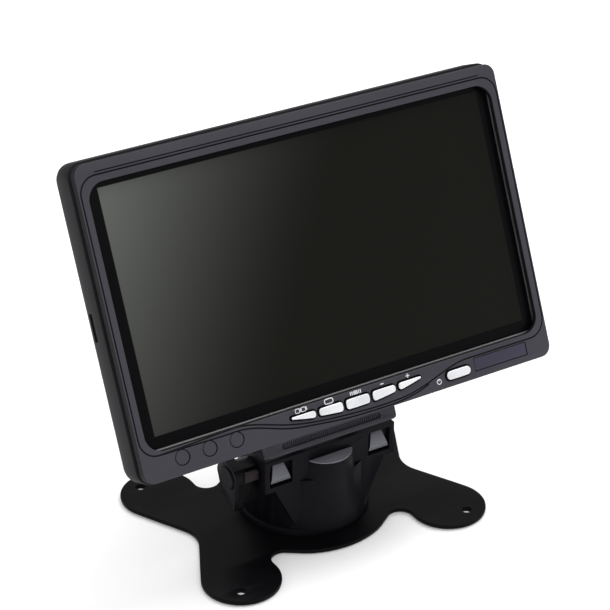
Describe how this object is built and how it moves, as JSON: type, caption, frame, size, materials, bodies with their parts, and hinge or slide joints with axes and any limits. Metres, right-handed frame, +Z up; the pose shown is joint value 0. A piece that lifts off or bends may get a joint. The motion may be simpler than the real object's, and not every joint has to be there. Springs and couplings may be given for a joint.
{
  "type": "rear view monitor on swivel stand",
  "caption": "Seven inch rear-view monitor with front keys, on a low four-lobed foot with a swivelling post, a tilt hinge and a lock lever.",
  "frame": {"origin": "on the swivel axis at the underside of the foot, which is the middle of the bottom of the bounding box", "axes": "+Z up, the screen faces -Y, +X to the viewer's right"},
  "size_m": [0.173, 0.0934, 0.1616],
  "materials": {
    "foam_pad": "closed-cell foam, matt",
    "satin_black_plate": "satin black powder coat",
    "black_stand_plastic": "finely textured black moulding",
    "dark_bracket_plastic": "finely textured charcoal moulding",
    "zinc_steel": "bright zinc plate",
    "nylon": "natural nylon",
    "bezel_plastic": "slate-grey satin moulding",
    "housing_plastic": "spark-eroded black moulding",
    "gland_rubber": "soft matt rubber",
    "screen_glass": "dark glossy screen face",
    "tin_plate": "rolled tin plate",
    "diffuser": "milky diffuser stack",
    "silver_key": "bright silver-lacquered key",
    "infrared_lens": "dark infrared filter",
    "board": "green solder mask",
    "component_black": "moulded component body",
    "flat_cable": "flat flexible cable"
  },
  "bodies": {
    "foot": {"grip_pad": "foam_pad", "base_plate": "satin_black_plate", "turntable_disc": "black_stand_plastic", "swivel_screw": "zinc_steel"},
    "post": {"stand_post": "black_stand_plastic", "hinge_cradle": "dark_bracket_plastic", "tilt_bolt": "zinc_steel", "friction_ring": "nylon", "swivel_washer": "zinc_steel", "swivel_nut": "zinc_steel", "friction_washer_left": "nylon", "friction_washer_right": "nylon"},
    "lock_lever": {"tilt_lock_lever": "black_stand_plastic", "lever_nut": "zinc_steel", "lever_cap": "black_stand_plastic"},
    "monitor": {"backlight_unit": "diffuser", "blank_plug_1": "bezel_plastic", "blank_plug_2": "bezel_plastic", "blank_plug_3": "bezel_plastic", "cable_gland": "gland_rubber", "cable_header": "nylon", "case_screw_left": "zinc_steel", "case_screw_right": "zinc_steel", "front_bezel": "bezel_plastic", "ir_receiver": "component_black", "ir_window": "infrared_lens", "key_board": "board", "lcd_frame": "tin_plate", "lcd_panel": "screen_glass", "main_board": "board", "menu_switch": "component_black", "minus_switch": "component_black", "mode_switch": "component_black", "plus_switch": "component_black", "power_coil": "component_black", "power_switch": "component_black", "rail_screw_1": "zinc_steel", "rail_screw_2": "zinc_steel", "rail_screw_3": "zinc_steel", "rail_screw_4": "zinc_steel", "rear_housing": "housing_plastic", "ribbon_cable": "flat_cable", "slide_rail": "dark_bracket_plastic", "source_switch": "component_black", "tilt_bracket": "dark_bracket_plastic", "video_chip": "component_black"},
    "mode_button": {"mode_button": "silver_key"},
    "source_button": {"source_button": "silver_key"},
    "menu_button": {"menu_button": "silver_key"},
    "minus_button": {"minus_button": "silver_key"},
    "plus_button": {"plus_button": "silver_key"},
    "power_button": {"power_button": "silver_key"}
  },
  "joints": [
    {"name": "base_swivel", "type": "hinge", "parent": "foot", "child": "post", "pos_m": [0, 0, 0.005], "axis": [0, 0, 1], "continuous": true},
    {"name": "screen_tilt", "type": "hinge", "parent": "post", "child": "monitor", "pos_m": [0, -0.011, 0.031], "axis": [-1, 0, 0], "range_deg": [-20, 35]},
    {"name": "lever_turn", "type": "hinge", "parent": "post", "child": "lock_lever", "pos_m": [-0.031, -0.011, 0.031], "axis": [-1, 0, 0], "range_deg": [-60, 75]},
    {"name": "mode_press", "type": "slide", "parent": "monitor", "child": "mode_button", "axis": [0, 0.9128, -0.4083], "range_m": [0, 0.0005], "stiffness_N_per_m": 600},
    {"name": "source_press", "type": "slide", "parent": "monitor", "child": "source_button", "axis": [0, 0.9128, -0.4083], "range_m": [0, 0.0005], "stiffness_N_per_m": 600},
    {"name": "menu_press", "type": "slide", "parent": "monitor", "child": "menu_button", "axis": [0, 0.9128, -0.4083], "range_m": [0, 0.0005], "stiffness_N_per_m": 600},
    {"name": "minus_press", "type": "slide", "parent": "monitor", "child": "minus_button", "axis": [0, 0.9128, -0.4083], "range_m": [0, 0.0005], "stiffness_N_per_m": 600},
    {"name": "plus_press", "type": "slide", "parent": "monitor", "child": "plus_button", "axis": [0, 0.9128, -0.4083], "range_m": [0, 0.0005], "stiffness_N_per_m": 600},
    {"name": "power_press", "type": "slide", "parent": "monitor", "child": "power_button", "axis": [0, 0.9128, -0.4083], "range_m": [0, 0.0005], "stiffness_N_per_m": 600}
  ]
}
